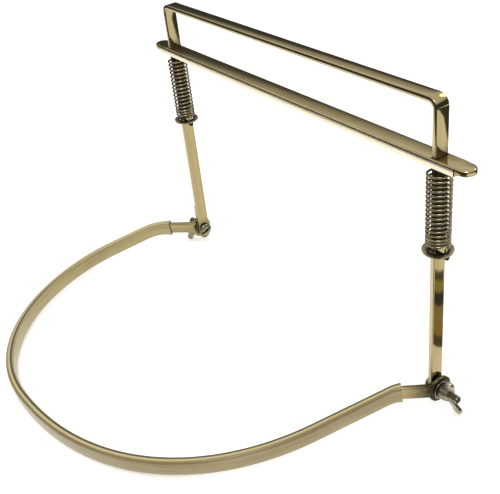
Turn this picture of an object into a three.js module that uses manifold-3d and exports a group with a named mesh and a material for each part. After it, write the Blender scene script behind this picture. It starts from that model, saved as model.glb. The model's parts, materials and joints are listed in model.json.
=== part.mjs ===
// Neck-worn harmonica holder: a U frame with a sprung jaw plate, hinged to a sleeved neck hoop.
// Millimetres, +Z up. X runs along the hinge axis and the hoop reaches out along -Y.
// Every piece is laid out from the middle of the hinge axis, and the last lines stand it on z = 0.
import * as THREE from 'three';
import { mergeVertices } from 'three/addons/utils/BufferGeometryUtils.js';
import Module from 'manifold-3d';

const wasm = await Module();
wasm.setup();

// Flat strip that the frame and the hoop are bent from
const stripWidth = 7.2;
const stripThickness = 2.6;
const stripRound = 0.8;

// Clearances
const fit = 0.3;
const overrun = 1;

// U frame: two legs and a top bar
const frameInnerSpan = 203;
const frameHeight = 150.2;
const frameBendRadius = 5;
const legTail = 6.7;

// Jaw plate: a pressed pan with its rim turned down, sliding on the legs
const jawOpening = 23.4;
const plateHeight = 3.9;
const plateSheet = 0.9;
const plateWall = 0.8;
const plateRound = 0.5;
const plateBeyondLeg = 9.9;
const tabLength = 7;
const tabWidth = 8.6;
const tabHeight = 2.5;

// Springs round the legs, and the washers and pins that hold them up
const springDiameter = 11.4;
const springWire = 1.05;
const springTurnsLeft = 16.5;
const springTurnsRight = 17.5;
const springCloseTurns = 3;
const springClosePitch = 1.6;
const springEndBend = 0.9;
const springWasherDiameter = 14.2;
const springWasherBore = 8.3;
const springWasherThickness = 1.2;
const springPinHeight = 76.8;
const springPinDiameter = 2.3;
const springPinLength = 12;
const pinChamfer = 0.3;

// Hinge hardware, from the inside of each leg outwards
const screwDiameter = 4;
const screwHeadDiameter = 8;
const screwHeadHeight = 2.4;
const screwHeadRim = 1;
const screwProud = 5.2;
const screwChamfer = 0.5;
const slotWidth = 1.1;
const slotDepth = 1;
const slotAngleLeft = THREE.MathUtils.degToRad(-66);
const slotAngleRight = THREE.MathUtils.degToRad(25);
const hingeFit = 0.25;
const frictionWasherDiameter = 10;
const frictionWasherThickness = 0.5;
const eyeDiameter = 13.6;
const eyeThickness = 1.7;
const outerWasherDiameter = 10;
const outerWasherThickness = 0.6;

// Wing nuts
const hubDiameter = 9;
const hubTopDiameter = 7;
const hubLength = 4.8;
const wingReach = 12.8;
const wingRise = 9.6;
const wingTipRadius = 2.6;
const wingThickness = 1.7;
const wingRound = 0.5;
const wingRootGap = 0.4;
const leftWingLean = THREE.MathUtils.degToRad(24);
const rightWingLean = THREE.MathUtils.degToRad(18);

// Neck hoop, seen from above: distances out from the hinge axis and sideways places
const leftArmReach = 7.6;
const rightArmReach = 6.9;
const hoopLeftBendSide = 124.2;
const hoopLeftBendReach = 23.8;
const hoopLeftSide = 126.4;
const hoopLeftStraightReach = 59.9;
const hoopFrontReach = 157.7;
const hoopFrontSide = 39.8;
const hoopRightSide = 87.1;
const hoopRightReach = 62.1;
const hoopRightBendSide = 95.5;
const hoopRightBendReach = 19;
const hoopHandleShares = { leftStart: 0.502, leftEnd: 0.624, rightStart: 0.59, rightEnd: 0.587 };
const earBendLength = 0.6;
const rightBendLength = 4;
const leftBendLength = 8;

// Sleeve over the hoop
const sleeveWall = 0.6;
const sleeveRound = 1.4;
const sleeveStartReach = 16.8;

// Counts
const roundSides = 24;
const pinSides = 12;
const bendSteps = 5;
const hoopSteps = 16;
const edgeSteps = 2;
const springSteps = 8;
const springSides = 5;

// Places that follow from the sizes above
const legInner = frameInnerSpan / 2;
const legMiddle = legInner + stripThickness / 2;
const legOuter = legInner + stripThickness;
const frictionWasherIn = legOuter + hingeFit;
const eyeIn = frictionWasherIn + frictionWasherThickness + hingeFit;
const eyeMiddle = eyeIn + eyeThickness / 2;
const outerWasherIn = eyeIn + eyeThickness + hingeFit;
const nutIn = outerWasherIn + outerWasherThickness + hingeFit;
const armStartReach = outerWasherDiameter / 2 + fit + stripRound;
const armRise = (eyeDiameter - stripWidth) / 2;
const screwHeadIn = legInner - fit;
const screwLength = nutIn + hubLength + screwProud - screwHeadIn;
const plateWidth = stripWidth + 2 * (fit + plateWall);
const plateShoulder = legOuter + plateBeyondLeg;
const plateHalfLength = plateShoulder + tabLength;
const plateTop = frameHeight - stripThickness - jawOpening;
const plateBottom = plateTop - plateHeight;
const springWasherBottom = springPinHeight + springPinDiameter / 2 + fit;
const springWasherTop = springWasherBottom + springWasherThickness;
const sleeveInnerThickness = stripThickness + 2 * fit;
const sleeveInnerHeight = stripWidth + 2 * fit;
const sleeveThickness = sleeveInnerThickness + 2 * sleeveWall;
const sleeveHeight = sleeveInnerHeight + 2 * sleeveWall;

// The hoop hangs a little, so that its front and the lower wing tips touch the same flat surface
const wingDepth = wingReach * Math.cos(rightWingLean) + wingThickness / 2 * Math.sin(rightWingLean);
const sleeveDepth = sleeveHeight / 2 - armRise;
const hoopCornerReach = Math.hypot(hoopFrontReach, sleeveDepth);
const hoopDrop = Math.asin(wingDepth / hoopCornerReach) - Math.atan2(sleeveDepth, hoopFrontReach);

const finishes = {
  nickel: { color: 0xb9a878, roughness: 0.28, metalness: 1 },
  steel: { color: 0xa9a79c, roughness: 0.35, metalness: 1 },
  spring: { color: 0xc4b68a, roughness: 0.3, metalness: 1 },
  dark: { color: 0x2b2a28, roughness: 0.7, metalness: 0 },
  vinyl: { color: 0xbab08f, roughness: 0.35, metalness: 0 },
};

// Turns a closed geometry into a solid that can be cut and joined
function solid(geometry) {
  const bare = geometry.index ? geometry.toNonIndexed() : geometry.clone();
  bare.deleteAttribute('normal');
  bare.deleteAttribute('uv');
  const merged = mergeVertices(bare);
  return new wasm.Manifold(new wasm.Mesh({
    numProp: 3,
    vertProperties: merged.attributes.position.array,
    triVerts: Uint32Array.from(merged.index.array),
  }));
}

// Turns a solid back into a geometry
function surface(body) {
  const mesh = body.getMesh();
  const geometry = new THREE.BufferGeometry();
  geometry.setAttribute('position', new THREE.BufferAttribute(mesh.vertProperties, mesh.numProp));
  geometry.setIndex(new THREE.BufferAttribute(mesh.triVerts, 1));
  geometry.computeVertexNormals();
  return geometry;
}

function piece(name, geometry, finish) {
  const mesh = new THREE.Mesh(geometry, new THREE.MeshStandardMaterial(finishes[finish]));
  mesh.name = name;
  return mesh;
}

// A rounded slab: an outline already drawn smaller by `round`, thickened along Z about zero
function slab(shape, thickness, round, steps) {
  const depth = thickness - 2 * round;
  const geometry = new THREE.ExtrudeGeometry(shape, {
    depth,
    curveSegments: bendSteps,
    bevelEnabled: round > 0,
    bevelThickness: round,
    bevelSize: round,
    bevelSegments: steps,
  });
  return geometry.translate(0, 0, -depth / 2);
}

// A strip standing on edge along a line of points in the XY plane
function ribbon(points, thickness, height, round, steps) {
  const half = thickness / 2 - round;
  const near = [];
  const far = [];
  points.forEach((point, i) => {
    const before = points[Math.max(i - 1, 0)];
    const after = points[Math.min(i + 1, points.length - 1)];
    const along = after.clone().sub(before).normalize();
    const across = new THREE.Vector2(-along.y, along.x).multiplyScalar(half);
    near.push(point.clone().add(across));
    far.unshift(point.clone().sub(across));
  });
  return slab(new THREE.Shape([...near, ...far]), height, round, steps);
}

// A ring or disc with its axis along X, from x = 0 outwards
function ringAlongX(outerRadius, innerRadius, thickness) {
  const profile = [
    new THREE.Vector2(innerRadius, 0),
    new THREE.Vector2(outerRadius, 0),
    new THREE.Vector2(outerRadius, thickness),
    new THREE.Vector2(innerRadius, thickness),
    new THREE.Vector2(innerRadius, 0),
  ];
  return new THREE.LatheGeometry(profile, roundSides).rotateZ(-Math.PI / 2);
}

function rodAlongX(radius, length) {
  return new THREE.CylinderGeometry(radius, radius, length, roundSides).rotateZ(Math.PI / 2);
}

// The bend round a corner, from `length` before it to `length` after it
function bend(before, corner, after, length) {
  const start = before.clone().sub(corner).setLength(length).add(corner);
  const end = after.clone().sub(corner).setLength(length).add(corner);
  return new THREE.QuadraticBezierCurve(start, corner, end).getPoints(bendSteps);
}

// U frame

function frameOutline(inset) {
  const outer = legOuter - inset;
  const inner = legInner + inset;
  const top = frameHeight - inset;
  const outerRadius = frameBendRadius - inset;
  const innerRadius = frameBendRadius - stripThickness + inset;
  const bendTop = frameHeight - frameBendRadius;
  const bendSide = legOuter - frameBendRadius;
  const bottom = -legTail - overrun;
  const shape = new THREE.Shape();
  shape.moveTo(-outer, bottom);
  shape.lineTo(-inner, bottom);
  shape.absarc(-bendSide, bendTop, innerRadius, Math.PI, Math.PI / 2, true);
  shape.absarc(bendSide, bendTop, innerRadius, Math.PI / 2, 0, true);
  shape.lineTo(inner, bottom);
  shape.lineTo(outer, bottom);
  shape.absarc(bendSide, bendTop, outerRadius, 0, Math.PI / 2, false);
  shape.lineTo(-bendSide, top);
  shape.absarc(-bendSide, bendTop, outerRadius, Math.PI / 2, Math.PI, false);
  return shape;
}

// Side view of a leg, wide enough to keep all of the frame but the corners of its lower ends
function legSilhouette() {
  const half = stripWidth / 2;
  const shape = new THREE.Shape();
  shape.moveTo(half, frameHeight + overrun);
  shape.lineTo(-half, frameHeight + overrun);
  shape.absarc(0, half - legTail, half, Math.PI, 2 * Math.PI, false);
  const span = 2 * (legOuter + overrun);
  const geometry = new THREE.ExtrudeGeometry(shape, {
    depth: span,
    curveSegments: roundSides / 4,
    bevelEnabled: false,
  });
  geometry.translate(0, 0, -span / 2);
  return geometry.rotateX(Math.PI / 2).rotateZ(Math.PI / 2);
}

function makeFrame() {
  const bent = slab(frameOutline(stripRound), stripWidth, stripRound, edgeSteps).rotateX(Math.PI / 2);
  let body = solid(bent).intersect(solid(legSilhouette()));
  for (const side of [-1, 1]) {
    const pivotHole = rodAlongX(screwDiameter / 2 + fit, stripThickness + 2 * overrun);
    pivotHole.translate(side * legMiddle, 0, 0);
    const pinHole = rodAlongX(springPinDiameter / 2 + fit, stripThickness + 2 * overrun);
    pinHole.translate(side * legMiddle, 0, springPinHeight);
    body = body.subtract(solid(pivotHole)).subtract(solid(pinHole));
  }
  return piece('u_frame', surface(body), 'nickel');
}

// Jaw plate

function plateOutline(inset) {
  const half = plateWidth / 2 - inset;
  const tab = tabWidth / 2 - inset;
  const shoulder = plateShoulder - inset;
  const tipCentre = plateHalfLength - tabWidth / 2;
  const shape = new THREE.Shape();
  shape.moveTo(-shoulder, -half);
  shape.lineTo(shoulder, -half);
  shape.lineTo(shoulder, -tab);
  shape.absarc(tipCentre, 0, tab, -Math.PI / 2, Math.PI / 2, false);
  shape.lineTo(shoulder, tab);
  shape.lineTo(shoulder, half);
  shape.lineTo(-shoulder, half);
  shape.lineTo(-shoulder, tab);
  shape.absarc(-tipCentre, 0, tab, Math.PI / 2, 1.5 * Math.PI, false);
  shape.lineTo(-shoulder, -tab);
  return shape;
}

function makePlate() {
  let body = solid(slab(plateOutline(plateRound), plateHeight, plateRound, edgeSteps));
  const hollowHeight = plateHeight - plateSheet + overrun;
  const hollow = slab(plateOutline(plateWall), hollowHeight, 0, 0);
  hollow.translate(0, 0, hollowHeight / 2 - plateHeight / 2 - overrun);
  body = body.subtract(solid(hollow));
  for (const side of [-1, 1]) {
    const slot = new THREE.BoxGeometry(stripThickness + 2 * fit, stripWidth + 2 * fit, 2 * plateHeight);
    slot.translate(side * legMiddle, 0, 0);
    const underTab = new THREE.BoxGeometry(tabLength + overrun, plateWidth, plateHeight - tabHeight + overrun);
    underTab.translate(side * (plateHalfLength + overrun - (tabLength + overrun) / 2), 0, 0);
    underTab.translate(0, 0, plateHeight / 2 - tabHeight - (plateHeight - tabHeight + overrun) / 2);
    body = body.subtract(solid(slot)).subtract(solid(underTab));
  }
  const plate = piece('clamp_plate', surface(body), 'nickel');
  plate.position.z = plateTop - plateHeight / 2;
  return plate;
}

// Springs

// Centre line of a spring: a short upright end, the coil, and an upright end at the top
function springLine(turns) {
  const radius = springDiameter / 2 - springWire / 2;
  const bottom = springWasherTop + fit;
  const top = plateBottom - fit;
  const coilBottom = bottom + springWire + springEndBend;
  const coilTop = top - springWire - springEndBend;
  const closeRise = springCloseTurns * springClosePitch;
  const openPitch = (coilTop - coilBottom - closeRise) / (turns - springCloseTurns);
  const bendBack = springEndBend * Math.SQRT1_2;
  const bendRise = springEndBend - bendBack;
  const line = [];
  const addPoint = (angle, back, z) => {
    const outward = new THREE.Vector3(Math.cos(angle), Math.sin(angle), 0);
    const forward = new THREE.Vector3(-outward.y, outward.x, 0);
    const place = outward.clone().multiplyScalar(radius).addScaledVector(forward, -back);
    place.z = z;
    line.push({ place, outward });
  };
  const lastAngle = 2 * Math.PI * turns;
  addPoint(0, springEndBend, bottom);
  addPoint(0, springEndBend, bottom + springWire);
  addPoint(0, bendBack, coilBottom - bendRise);
  const steps = Math.round(turns * springSteps);
  for (let i = 0; i <= steps; i += 1) {
    const turn = i / springSteps;
    const closed = Math.min(turn, springCloseTurns) * springClosePitch;
    const open = Math.max(turn - springCloseTurns, 0) * openPitch;
    addPoint(2 * Math.PI * turn, 0, coilBottom + closed + open);
  }
  addPoint(lastAngle, -bendBack, coilTop + bendRise);
  addPoint(lastAngle, -springEndBend, top - springWire);
  addPoint(lastAngle, -springEndBend, top);
  return line;
}

// The least gap between two stretches of wire more than half a turn apart
function leastGap(line) {
  let least = Infinity;
  for (let i = 0; i < line.length; i += 1) {
    for (let j = i + springSteps / 2; j < line.length; j += 1) {
      least = Math.min(least, line[i].place.distanceTo(line[j].place) - springWire);
    }
  }
  return least;
}

// One unbroken round tube along the line
function springGeometry(line) {
  const positions = [];
  const triangles = [];
  const last = line.length - 1;
  line.forEach(({ place, outward }, i) => {
    const before = line[Math.max(i - 1, 0)].place;
    const after = line[Math.min(i + 1, last)].place;
    const along = after.clone().sub(before).normalize();
    const across = new THREE.Vector3().crossVectors(along, outward).normalize();
    const out = new THREE.Vector3().crossVectors(across, along);
    for (let j = 0; j < springSides; j += 1) {
      const angle = 2 * Math.PI * j / springSides;
      const point = place.clone();
      point.addScaledVector(out, springWire / 2 * Math.cos(angle));
      point.addScaledVector(across, springWire / 2 * Math.sin(angle));
      positions.push(...point);
    }
  });
  for (let i = 0; i < last; i += 1) {
    for (let j = 0; j < springSides; j += 1) {
      const next = (j + 1) % springSides;
      const low = i * springSides;
      const high = low + springSides;
      triangles.push(low + j, low + next, high + next);
      triangles.push(low + j, high + next, high + j);
    }
  }
  for (let j = 1; j < springSides - 1; j += 1) {
    triangles.push(0, j + 1, j);
    triangles.push(last * springSides, last * springSides + j, last * springSides + j + 1);
  }
  const geometry = new THREE.BufferGeometry();
  geometry.setAttribute('position', new THREE.Float32BufferAttribute(positions, 3));
  geometry.setIndex(triangles);
  geometry.computeVertexNormals();
  return geometry;
}

function makeSpring(name, side, turns) {
  const line = springLine(turns);
  console.log(`${name}: least gap between turns ${leastGap(line).toFixed(2)} mm`);
  const spring = piece(name, springGeometry(line), 'spring');
  spring.position.x = side * legMiddle;
  return spring;
}

function makeSpringWasher(name, side) {
  const ring = ringAlongX(springWasherDiameter / 2, springWasherBore / 2, springWasherThickness);
  const washer = piece(name, ring.rotateY(-Math.PI / 2), 'nickel');
  washer.position.set(side * legMiddle, 0, springWasherBottom);
  return washer;
}

function makeCrossPin(name, side) {
  const radius = springPinDiameter / 2;
  const half = springPinLength / 2;
  const profile = [
    new THREE.Vector2(0, -half),
    new THREE.Vector2(radius - pinChamfer, -half),
    new THREE.Vector2(radius, pinChamfer - half),
    new THREE.Vector2(radius, half - pinChamfer),
    new THREE.Vector2(radius - pinChamfer, half),
    new THREE.Vector2(0, half),
  ];
  const pin = piece(name, new THREE.LatheGeometry(profile, pinSides).rotateZ(-Math.PI / 2), 'steel');
  pin.position.set(side * legMiddle, 0, springPinHeight);
  return pin;
}

// Hinge hardware. Each is drawn along +X outwards and turned about Z for the left side.

function hardware(name, geometry, finish, side, x, turn) {
  const mesh = piece(name, geometry, finish);
  mesh.position.x = side * x;
  mesh.rotation.set(turn, 0, side < 0 ? Math.PI : 0);
  return mesh;
}

function makeWasher(name, side, x, diameter, thickness, finish) {
  const ring = ringAlongX(diameter / 2, screwDiameter / 2 + fit, thickness);
  return hardware(name, ring, finish, side, x, 0);
}

function makeScrew(name, side, slotAngle) {
  const shank = screwDiameter / 2;
  const head = screwHeadDiameter / 2;
  const domeStart = new THREE.Vector2(shank, -screwHeadHeight);
  const domeCorner = new THREE.Vector2(head, -screwHeadHeight);
  const domeEnd = new THREE.Vector2(head, -screwHeadRim);
  const profile = [
    new THREE.Vector2(0, -screwHeadHeight),
    ...new THREE.QuadraticBezierCurve(domeStart, domeCorner, domeEnd).getPoints(bendSteps),
    new THREE.Vector2(head, 0),
    new THREE.Vector2(shank, 0),
    new THREE.Vector2(shank, screwLength - screwChamfer),
    new THREE.Vector2(shank - screwChamfer, screwLength),
    new THREE.Vector2(0, screwLength),
  ];
  const turned = new THREE.LatheGeometry(profile, roundSides).rotateZ(-Math.PI / 2);
  const slot = new THREE.BoxGeometry(2 * slotDepth, slotWidth, screwHeadDiameter + overrun);
  slot.translate(-screwHeadHeight, 0, 0);
  const body = solid(turned).subtract(solid(slot));
  return hardware(name, surface(body), 'steel', side, screwHeadIn, slotAngle);
}

// Wing nut: a tapered hub with two wings that flare outwards to round tips
function wingGeometry() {
  const tipX = wingRise - wingTipRadius;
  const tipY = wingReach - wingTipRadius;
  const root = hubTopDiameter / 2 - wingRound;
  const tip = wingTipRadius - wingRound;
  const nearAngle = THREE.MathUtils.degToRad(200);
  const farAngle = THREE.MathUtils.degToRad(-10);
  const farX = tipX + tip * Math.cos(farAngle);
  const shape = new THREE.Shape();
  shape.moveTo(wingRootGap + wingRound, root);
  shape.absarc(tipX, tipY, tip, nearAngle, farAngle, true);
  shape.quadraticCurveTo(farX - wingTipRadius / 2, (tipY + root) / 2, hubLength - wingRootGap - wingRound, root);
  return slab(shape, wingThickness, wingRound, 1).rotateX(Math.PI / 2);
}

function makeWingNut(name, side, lean) {
  const bore = screwDiameter / 2 + fit;
  const hubProfile = [
    new THREE.Vector2(bore, 0),
    new THREE.Vector2(hubDiameter / 2, 0),
    new THREE.Vector2(hubTopDiameter / 2, hubLength),
    new THREE.Vector2(bore, hubLength),
    new THREE.Vector2(bore, 0),
  ];
  const hub = new THREE.LatheGeometry(hubProfile, roundSides).rotateZ(-Math.PI / 2);
  const wing = solid(wingGeometry());
  const otherWing = solid(wingGeometry().rotateX(Math.PI));
  const body = solid(hub).add(wing).add(otherWing);
  const clear = rodAlongX(bore, 2 * (wingRise + overrun));
  return hardware(name, surface(body.subtract(solid(clear))), 'nickel', side, nutIn, lean);
}

// Neck hoop

const at = (side, reach) => new THREE.Vector2(side, -reach);

// Middle line of the hoop strip, from the left ear round the front to the right ear
function hoopLine() {
  const leftEar = at(-eyeMiddle, armStartReach);
  const leftCorner = at(-eyeMiddle, leftArmReach);
  const leftBend = at(-hoopLeftBendSide, hoopLeftBendReach);
  const leftEnd = at(-hoopLeftSide, hoopLeftStraightReach);
  const front = at(-hoopFrontSide, hoopFrontReach);
  const rightEnd = at(hoopRightSide, hoopRightReach);
  const rightBend = at(hoopRightBendSide, hoopRightBendReach);
  const rightCorner = at(eyeMiddle, rightArmReach);
  const rightEar = at(eyeMiddle, armStartReach);
  const shares = hoopHandleShares;
  const leftSpan = leftEnd.y - front.y;
  const rightSpan = rightEnd.y - front.y;
  const leftHandle = leftEnd.clone().add(at(0, shares.leftStart * leftSpan));
  const frontLeft = front.clone().add(at(shares.leftEnd * (leftEnd.x - front.x), 0));
  const frontRight = front.clone().add(at(shares.rightStart * (rightEnd.x - front.x), 0));
  const rightAlong = rightEnd.clone().sub(rightBend).setLength(shares.rightEnd * rightSpan);
  const rightHandle = rightEnd.clone().add(rightAlong);
  const leftArc = new THREE.CubicBezierCurve(leftEnd, leftHandle, frontLeft, front);
  const rightArc = new THREE.CubicBezierCurve(front, frontRight, rightHandle, rightEnd);
  return [
    leftEar,
    ...bend(leftEar, leftCorner, leftBend, earBendLength),
    ...bend(leftCorner, leftBend, leftEnd, leftBendLength),
    ...leftArc.getPoints(hoopSteps),
    ...rightArc.getPoints(hoopSteps).slice(1),
    ...bend(rightEnd, rightBend, rightCorner, rightBendLength),
    ...bend(rightBend, rightCorner, rightEar, earBendLength),
    rightEar,
  ];
}

// The part of a line that lies more than `reach` out, with its cut ends put in
function lineBeyond(points, reach) {
  const kept = [];
  points.forEach((point, i) => {
    const before = points[i - 1];
    if (before && (before.y < -reach) !== (point.y < -reach)) {
      kept.push(before.clone().lerp(point, (-reach - before.y) / (point.y - before.y)));
    }
    if (point.y < -reach) {
      kept.push(point);
    }
  });
  return kept;
}

// A block whose face squares off the end of a ribbon at `end`, on the side away from `next`
function endBlock(end, next) {
  const size = sleeveHeight + overrun;
  const block = new THREE.BoxGeometry(size, size, size).translate(-size / 2, 0, 0);
  return block.rotateZ(Math.atan2(next.y - end.y, next.x - end.x)).translate(end.x, end.y, 0);
}

// The same line with both ends lengthened
function lengthened(points, length) {
  const first = points[0].clone().sub(points[1]).setLength(length).add(points[0]);
  const end = points[points.length - 1];
  const last = end.clone().sub(points[points.length - 2]).setLength(length).add(end);
  return [first, ...points, last];
}

// The eyes are pressed thinner than the strip, and their tops run on into the raised arms
function makeHoop() {
  const strip = ribbon(hoopLine(), stripThickness, stripWidth, stripRound, edgeSteps);
  let body = solid(strip.translate(0, 0, armRise));
  for (const side of [-1, 1]) {
    const eye = rodAlongX(eyeDiameter / 2, eyeThickness).translate(side * eyeMiddle, 0, 0);
    const web = new THREE.BoxGeometry(eyeThickness, armStartReach, stripWidth);
    web.translate(side * eyeMiddle, -armStartReach / 2, armRise);
    body = body.add(solid(eye)).add(solid(web));
  }
  const bore = rodAlongX(screwDiameter / 2 + fit, 2 * (eyeMiddle + stripThickness));
  const hoop = piece('neck_hoop', surface(body.subtract(solid(bore))), 'nickel');
  hoop.rotation.x = hoopDrop;
  return hoop;
}

function makeSleeve() {
  const line = lineBeyond(hoopLine(), sleeveStartReach);
  const longLine = lengthened(line, sleeveRound + overrun);
  const outer = ribbon(longLine, sleeveThickness, sleeveHeight, sleeveRound, edgeSteps);
  const inner = ribbon(longLine, sleeveInnerThickness, sleeveInnerHeight, stripRound, 1);
  const first = endBlock(line[0], line[1]);
  const last = endBlock(line[line.length - 1], line[line.length - 2]);
  const body = solid(outer).subtract(solid(first)).subtract(solid(last)).subtract(solid(inner));
  const sleeve = piece('neck_sleeve', surface(body.translate([0, 0, armRise])), 'vinyl');
  sleeve.rotation.x = hoopDrop;
  return sleeve;
}

const holder = new THREE.Group();
holder.add(
  makeFrame(),
  makePlate(),
  makeSpring('spring_left', -1, springTurnsLeft),
  makeSpring('spring_right', 1, springTurnsRight),
  makeHoop(),
  makeSleeve(),
  makeScrew('pivot_screw_left', -1, slotAngleLeft),
  makeScrew('pivot_screw_right', 1, slotAngleRight),
  makeWingNut('wing_nut_left', -1, -leftWingLean),
  makeWingNut('wing_nut_right', 1, rightWingLean),
);
for (const [label, side] of [['left', -1], ['right', 1]]) {
  holder.add(
    makeSpringWasher(`spring_washer_${label}`, side),
    makeCrossPin(`cross_pin_${label}`, side),
    makeWasher(`friction_washer_${label}`, side, frictionWasherIn, frictionWasherDiameter,
      frictionWasherThickness, 'dark'),
    makeWasher(`outer_washer_${label}`, side, outerWasherIn, outerWasherDiameter,
      outerWasherThickness, 'steel'),
  );
}

// Stand the holder on z = 0 with the middle of its box over the origin
const box = new THREE.Box3().setFromObject(holder, true);
const middle = box.getCenter(new THREE.Vector3());
holder.position.set(-middle.x, -middle.y, -box.min.z);
console.log(`hinge axis at x ${holder.position.x.toFixed(3)}, y ${holder.position.y.toFixed(3)},`
  + ` z ${holder.position.z.toFixed(3)} mm, hoop drop ${THREE.MathUtils.radToDeg(hoopDrop).toFixed(2)} degrees`);

export default holder;
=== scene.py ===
"""Looks of a holder hung round the neck: plated strip frame, sprung jaw, sleeved hoop and hinge hardware."""
import json
import math
import bmesh
import bpy
from mathutils import Matrix, Vector
from mathutils.geometry import interpolate_bezier
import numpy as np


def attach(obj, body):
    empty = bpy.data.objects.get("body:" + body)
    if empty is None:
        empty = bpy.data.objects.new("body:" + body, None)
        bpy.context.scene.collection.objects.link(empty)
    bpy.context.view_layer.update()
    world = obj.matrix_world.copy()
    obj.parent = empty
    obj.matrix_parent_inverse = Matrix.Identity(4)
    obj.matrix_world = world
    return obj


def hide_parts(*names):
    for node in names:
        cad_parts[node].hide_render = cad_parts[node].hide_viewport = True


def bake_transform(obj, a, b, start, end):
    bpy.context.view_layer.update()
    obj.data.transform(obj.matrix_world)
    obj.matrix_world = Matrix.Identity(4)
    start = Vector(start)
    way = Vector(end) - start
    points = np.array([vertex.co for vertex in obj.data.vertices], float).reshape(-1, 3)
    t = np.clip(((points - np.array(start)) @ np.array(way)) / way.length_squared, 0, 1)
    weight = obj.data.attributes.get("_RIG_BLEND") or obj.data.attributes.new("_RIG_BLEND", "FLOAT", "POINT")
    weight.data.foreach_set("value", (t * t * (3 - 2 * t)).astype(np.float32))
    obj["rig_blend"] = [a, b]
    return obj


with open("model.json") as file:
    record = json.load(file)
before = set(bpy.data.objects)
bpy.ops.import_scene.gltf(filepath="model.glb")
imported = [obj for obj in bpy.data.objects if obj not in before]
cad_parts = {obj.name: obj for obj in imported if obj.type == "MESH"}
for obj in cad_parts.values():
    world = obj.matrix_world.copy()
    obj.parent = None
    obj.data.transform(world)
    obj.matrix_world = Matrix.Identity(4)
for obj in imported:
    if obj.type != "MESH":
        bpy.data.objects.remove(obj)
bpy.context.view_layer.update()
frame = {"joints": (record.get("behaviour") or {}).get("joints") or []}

# Shapes below are drawn in millimetres from the middle of the hinge axis
MM = 0.001
JOINTS = {joint["name"]: joint for joint in frame["joints"]}
HINGE = Vector(JOINTS["frame_tilt"]["pos_m"])

# Camera, measured from the middle of the hinge axis
CAMERA_PLACE = HINGE + Vector((308.6, -225.3, 280.5)) * MM
CAMERA_AIM = HINGE + Vector((-47.5, -0.7, 10.8)) * MM
CAMERA_ROLL = math.radians(-7.1)
SENSOR_WIDTH = 36.0
CAMERA_LENS = 59.17

# Where the lamps look, in metres
LAMP_AIM = (0, 0, 0.05)

# Flat strip
STRIP_WIDTH = 7.2
STRIP_THICKNESS = 2.6
STRIP_ROUND = 0.8
STRIP_EDGE = 0.55
STRIP_EDGE_STEPS = 4
FIT = 0.3

# U frame
LEG_INNER = 101.5
LEG_MIDDLE = LEG_INNER + STRIP_THICKNESS / 2
LEG_OUTER = LEG_INNER + STRIP_THICKNESS
FRAME_HEIGHT = 150.2
FRAME_BEND = 5.0
FRAME_STEP = 4.0
LEG_TAIL = 6.7

# Jaw plate
JAW_OPENING = 23.4
PLATE_TOP = FRAME_HEIGHT - STRIP_THICKNESS - JAW_OPENING
PLATE_HEIGHT = 3.9
PLATE_SHEET = 0.85
PLATE_EDGE = 1.0
PLATE_MARGIN = 0.8
PLATE_HALF_WIDTH = STRIP_WIDTH / 2 + FIT + PLATE_MARGIN
PLATE_REACH = 9.9
PLATE_SHOULDER = LEG_OUTER + PLATE_REACH
TAB_LENGTH = 7.0
TAB_HALF_WIDTH = 4.3
TAB_HEIGHT = 2.5

# Springs, and what holds them up
SPRING_RADIUS = 5.7
WIRE_RADIUS = 0.525
SPRING_TURNS = {"left": 16.5, "right": 17.5}
CLOSE_TURNS = 3
CLOSE_PITCH = 1.6
SPRING_END = 0.9
COIL_STEPS = 24
WIRE_SIDES = 12
PIN_HEIGHT = 76.8
PIN_RADIUS = 1.15
PIN_LENGTH = 12.0
PIN_EDGE = 0.3
PIN_SIDES = 32
SPRING_WASHER_RADIUS = 7.1
SPRING_WASHER_BORE = 4.15
SPRING_WASHER_THICKNESS = 1.2
SPRING_WASHER_EDGE = 0.3
SPRING_WASHER_BOTTOM = PIN_HEIGHT + PIN_RADIUS + FIT
SPRING_BOTTOM = SPRING_WASHER_BOTTOM + SPRING_WASHER_THICKNESS + FIT
SPRING_TOP = PLATE_TOP - PLATE_HEIGHT - FIT
# The bend starts this far beyond a spring's ends, so that its middle coils close less
SPRING_EASE = 3.3
# Painted shade on the legs inside the springs: its middle height, and how far it reaches each way
LEG_SHADE_MIDDLE = (SPRING_WASHER_BOTTOM + PLATE_TOP) / 2
LEG_SHADE_REACH = 22

# Hinge hardware, outwards from each leg
HINGE_FIT = 0.25
SCREW_RADIUS = 2.0
SCREW_BORE = SCREW_RADIUS + FIT
HEAD_RADIUS = 4.0
HEAD_HEIGHT = 2.4
HEAD_RIM = 1.0
HEAD_EDGE = 0.15
TIP_CHAMFER = 0.5
SCREW_SIDES = 48
SLOT_HALF_WIDTH = 0.55
SLOT_DEPTH = 1.0
SLOT_TURN = {"left": math.radians(-66), "right": math.radians(25)}
THREAD_PITCH = 0.45
THREAD_GROOVE = 0.35
THREAD_VALLEY = 0.17
THREAD_DEPTH = 0.3
THREAD_HIDDEN = 0.8
THREAD_END = 0.9
WASHER_RADIUS = 5.0
FRICTION_THICKNESS = 0.5
FRICTION_EDGE = 0.12
EYE_RADIUS = 6.8
EYE_THICKNESS = 1.7
EYE_EDGE = 0.35
EYE_SIDES = 96
OUTER_THICKNESS = 0.6
OUTER_EDGE = 0.15
FRICTION_IN = LEG_OUTER + HINGE_FIT
EYE_IN = FRICTION_IN + FRICTION_THICKNESS + HINGE_FIT
EYE_MIDDLE = EYE_IN + EYE_THICKNESS / 2
OUTER_IN = EYE_IN + EYE_THICKNESS + HINGE_FIT
NUT_IN = OUTER_IN + OUTER_THICKNESS + HINGE_FIT

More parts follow.
